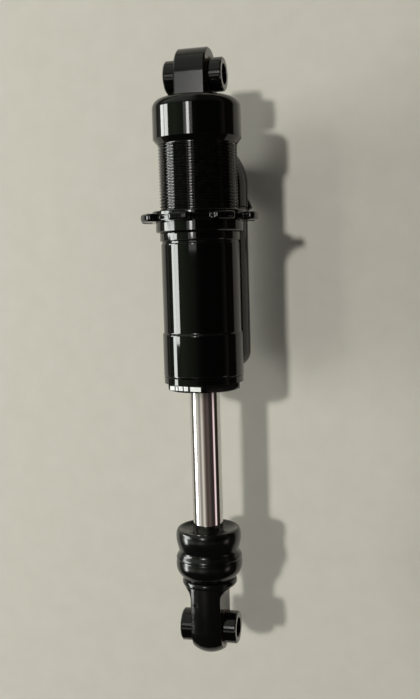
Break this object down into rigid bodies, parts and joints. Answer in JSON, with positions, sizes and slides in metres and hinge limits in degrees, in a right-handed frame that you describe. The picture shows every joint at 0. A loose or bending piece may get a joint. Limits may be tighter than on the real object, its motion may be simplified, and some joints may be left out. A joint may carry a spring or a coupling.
{
  "type": "coil-over rear shock absorber",
  "caption": "Rear bicycle coil-over damper without its spring: threaded tube with preload ring, chrome shaft with bump stop, piggyback reservoir and mounting eyes.",
  "frame": {"origin": "centre of the upper mounting eye, on the damper's axis", "axes": "+Y along the damper's axis towards its head end, +X along both eye bores, the reservoir hangs on the -Z side"},
  "size_m": [0.0494, 0.252, 0.0825],
  "materials": {
    "head_gloss_black": "gloss black anodised",
    "tube_gloss_black": "gloss black anodised",
    "ring_black": "gloss black anodised",
    "eyelet_black": "satin black anodised",
    "chrome_shaft": "hard chrome, polished",
    "rubber_black": "satin moulded rubber",
    "seal_rubber": "matte",
    "bare_aluminium": "machined",
    "steel": "machined",
    "black_steel": "black oxide",
    "brass": "machined",
    "bush_polymer": "bronze-filled polymer",
    "band_polymer": "bronze-filled polymer",
    "bumper_urethane": "urethane",
    "cap_plastic": "moulded"
  },
  "bodies": {
    "damper_body": {"upper_head": "head_gloss_black", "damper_tube": "tube_gloss_black", "head_o_ring": "seal_rubber", "seal_head": "tube_gloss_black", "seal_head_o_ring": "seal_rubber", "shaft_bushing": "bush_polymer", "shaft_seal": "seal_rubber", "dust_wiper": "seal_rubber", "upper_eye_bush": "bush_polymer", "reservoir_tube": "tube_gloss_black", "reservoir_head_o_ring": "seal_rubber", "reservoir_end_cap": "tube_gloss_black", "end_cap_o_ring": "seal_rubber", "charge_valve": "brass", "valve_core": "brass", "valve_cap": "cap_plastic", "bleed_screw": "black_steel", "compression_piston": "bare_aluminium", "compression_piston_shims": "steel", "compression_piston_bolt": "steel", "compression_piston_nut": "steel"},
    "shaft_assembly": {"damper_shaft": "chrome_shaft", "top_out_bumper": "bumper_urethane", "top_out_plate": "steel", "rebound_shims": "steel", "compression_shims": "steel", "main_piston": "bare_aluminium", "piston_band": "band_polymer", "piston_nut": "steel", "bump_stop": "rubber_black", "lower_eyelet": "eyelet_black", "lower_eye_bush": "bush_polymer"},
    "upper_hardware": {"upper_spacer_left": "ring_black", "upper_spacer_right": "ring_black", "upper_spacer_o_rings": "seal_rubber"},
    "lower_hardware": {"lower_spacer_left": "ring_black", "lower_spacer_right": "ring_black", "lower_spacer_o_rings": "seal_rubber"},
    "pilot_collar": {"spring_pilot": "ring_black"},
    "preload_nut": {"preload_ring": "ring_black"},
    "rebound_screw": {"rebound_adjuster": "black_steel"},
    "needle": {"metering_rod": "bare_aluminium"},
    "lever": {"compression_lever": "ring_black", "lever_spindle": "steel", "spindle_o_ring": "seal_rubber", "lever_screw": "black_steel"},
    "gas_piston": {"floating_piston": "bare_aluminium", "floating_piston_o_ring": "seal_rubber"},
    "valve_plunger": {"valve_pin": "brass"}
  },
  "joints": [
    {"name": "shaft_slide", "type": "slide", "parent": "damper_body", "child": "shaft_assembly", "axis": [0, 1, 0], "range_m": [0, 0.065], "stiffness_N_per_m": 800, "springref_m": -0.2, "deforming": ["bump_stop"]},
    {"name": "gas_piston_slide", "type": "slide", "parent": "damper_body", "child": "gas_piston", "axis": [0, 1, 0], "range_m": [-0.024, 0]},
    {"name": "preload_travel", "type": "slide", "parent": "damper_body", "child": "pilot_collar", "axis": [0, 1, 0], "range_m": [0, 0.025]},
    {"name": "preload_turn", "type": "hinge", "parent": "pilot_collar", "child": "preload_nut", "pos_m": [0, -0.0584, 0], "axis": [0, 1, 0], "range_deg": [0, 7029.9]},
    {"name": "rebound_turn", "type": "hinge", "parent": "shaft_assembly", "child": "rebound_screw", "pos_m": [-0.0039, -0.2179, 0.0095], "axis": [0, 0, 1], "range_deg": [0, 180.5]},
    {"name": "needle_slide", "type": "slide", "parent": "shaft_assembly", "child": "needle", "axis": [0, 1, 0], "range_m": [0, 0.0008]},
    {"name": "compression_lever_turn", "type": "hinge", "parent": "damper_body", "child": "lever", "pos_m": [0, -0.037, -0.053], "axis": [0, 0, -1], "range_deg": [0, 85]},
    {"name": "upper_eye_turn", "type": "hinge", "parent": "damper_body", "child": "upper_hardware", "pos_m": [0, 0, 0], "axis": [1, 0, 0], "continuous": true},
    {"name": "lower_eye_turn", "type": "hinge", "parent": "shaft_assembly", "child": "lower_hardware", "pos_m": [0, -0.23, 0], "axis": [1, 0, 0], "continuous": true},
    {"name": "valve_pin_press", "type": "slide", "parent": "damper_body", "child": "valve_plunger", "axis": [0, 1, 0], "range_m": [0, 0.0015], "stiffness_N_per_m": 500, "springref_m": -0.001}
  ],
  "couplings": [
    {"joint": "gas_piston_slide", "follows": "shaft_slide", "ratio": -0.33324},
    {"joint": "preload_travel", "follows": "preload_turn", "m_per_rad": 0.00020213},
    {"joint": "rebound_turn", "follows": "needle_slide", "rad_per_m": 3927}
  ]
}
